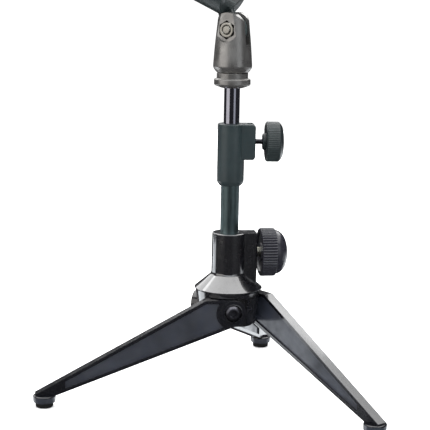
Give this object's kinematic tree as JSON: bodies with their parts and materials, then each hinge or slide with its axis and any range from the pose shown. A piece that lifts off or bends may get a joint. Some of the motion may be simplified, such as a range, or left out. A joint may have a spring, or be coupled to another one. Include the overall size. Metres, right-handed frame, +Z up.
{
  "type": "desktop microphone stand",
  "caption": "Desktop microphone stand with a folding tripod base, a two-section telescopic pole with clamping knobs, and a tilting microphone clip.",
  "frame": {"origin": "on the floor plane, under the middle of the stand's box; the pole's axis is at X 13.52 mm, Y -20.71 mm", "axes": "+Z up along the pole, +X towards the two knobs, +Y away from the side with the fork nut"},
  "size_m": [0.2406, 0.234, 0.319],
  "materials": {
    "hub_lacquer": "gloss black lacquer on a die casting",
    "leg_lacquer": "semi-gloss black lacquer on a die casting",
    "black_steel": "black oxide",
    "black_nylon": "moulded",
    "foot_rubber": "moulded",
    "brass": "turned",
    "zinc_steel": "bright zinc plate",
    "knob_plastic": "ribbed, satin",
    "satin_tube": "satin dark grey-green",
    "clutch_plastic": "satin with a fine grain",
    "dark_chrome": "polished black nickel",
    "grey_lacquer": "satin warm grey lacquer",
    "clip_plastic": "soft moulded plastic, fine grain"
  },
  "bodies": {
    "base": {"hub": "hub_lacquer", "pivot_screws": "black_steel", "pivot_washers": "black_nylon"},
    "leg_left": {"leg_left": "leg_lacquer", "foot_left": "foot_rubber"},
    "leg_right": {"leg_right": "leg_lacquer", "foot_right": "foot_rubber"},
    "leg_back": {"leg_back": "leg_lacquer", "foot_back": "foot_rubber"},
    "base_clamp": {"base_pad": "brass"},
    "base_knob": {"base_stud": "zinc_steel", "base_knob": "knob_plastic"},
    "lower_carrier": {"lower_tube_plug": "black_nylon"},
    "lower_pole": {"lower_tube": "satin_tube", "clutch_body": "clutch_plastic", "clutch_nut": "zinc_steel"},
    "clutch_clamp": {"clutch_pad": "brass"},
    "clutch_knob": {"clutch_screw": "black_steel", "clutch_knob": "knob_plastic"},
    "upper_carrier": {"upper_tube_plug": "black_nylon"},
    "upper_pole": {"upper_tube": "dark_chrome", "top_collar": "grey_lacquer", "threaded_stud": "zinc_steel"},
    "fork": {"thread_insert": "brass", "fork": "grey_lacquer", "fork_bolt": "zinc_steel", "fork_nut": "zinc_steel"},
    "clip": {"clip": "clip_plastic", "clip_washers": "black_nylon"}
  },
  "joints": [
    {"name": "leg_left_fold", "type": "hinge", "parent": "base", "child": "leg_left", "pos_m": [0.01684, -0.04145, 0.0646], "axis": [0.1582, -0.9874, 0], "range_deg": [0, 66]},
    {"name": "leg_right_fold", "type": "hinge", "parent": "base", "child": "leg_right", "pos_m": [0.02982, -0.00747, 0.0646], "axis": [0.776, 0.6307, 0], "range_deg": [0, 66]},
    {"name": "leg_back_fold", "type": "hinge", "parent": "base", "child": "leg_back", "pos_m": [-0.0061, -0.01322, 0.0646], "axis": [-0.9342, 0.3567, 0], "range_deg": [0, 66]},
    {"name": "base_clamp_travel", "type": "slide", "parent": "base", "child": "base_clamp", "axis": [0.9874, 0.1582, 0], "range_m": [0, 0.0025]},
    {"name": "base_knob_turn", "type": "hinge", "parent": "base_clamp", "child": "base_knob", "pos_m": [0.01352, -0.02071, 0.10325], "axis": [0.9874, 0.1582, 0], "range_deg": [0, 720]},
    {"name": "lower_pole_slide", "type": "slide", "parent": "base", "child": "lower_carrier", "axis": [0, 0, 1], "range_m": [-0.033, 0.033]},
    {"name": "lower_pole_turn", "type": "hinge", "parent": "lower_carrier", "child": "lower_pole", "pos_m": [0.01352, -0.02071, 0], "axis": [0, 0, 1], "continuous": true},
    {"name": "clutch_clamp_travel", "type": "slide", "parent": "lower_pole", "child": "clutch_clamp", "axis": [0.9976, 0.0698, 0], "range_m": [0, 0.0014]},
    {"name": "clutch_knob_turn", "type": "hinge", "parent": "clutch_clamp", "child": "clutch_knob", "pos_m": [0.01352, -0.02071, 0.1825], "axis": [0.9976, 0.0698, 0], "range_deg": [0, 720]},
    {"name": "upper_pole_slide", "type": "slide", "parent": "lower_pole", "child": "upper_carrier", "axis": [0, 0, 1], "range_m": [-0.024, 0.052]},
    {"name": "upper_pole_turn", "type": "hinge", "parent": "upper_carrier", "child": "upper_pole", "pos_m": [0.01352, -0.02071, 0], "axis": [0, 0, 1], "continuous": true},
    {"name": "fork_swivel", "type": "hinge", "parent": "upper_pole", "child": "fork", "pos_m": [0.01352, -0.02071, 0], "axis": [0, 0, 1], "range_deg": [-180, 180]},
    {"name": "clip_tilt", "type": "hinge", "parent": "fork", "child": "clip", "pos_m": [0.01352, -0.02071, 0.2601], "axis": [0.4787, 0.878, 0], "range_deg": [-65, 65]}
  ],
  "couplings": [
    {"joint": "base_knob_turn", "follows": "base_clamp_travel", "rad_per_m": 5026.5},
    {"joint": "clutch_knob_turn", "follows": "clutch_clamp_travel", "rad_per_m": 8975.9}
  ]
}
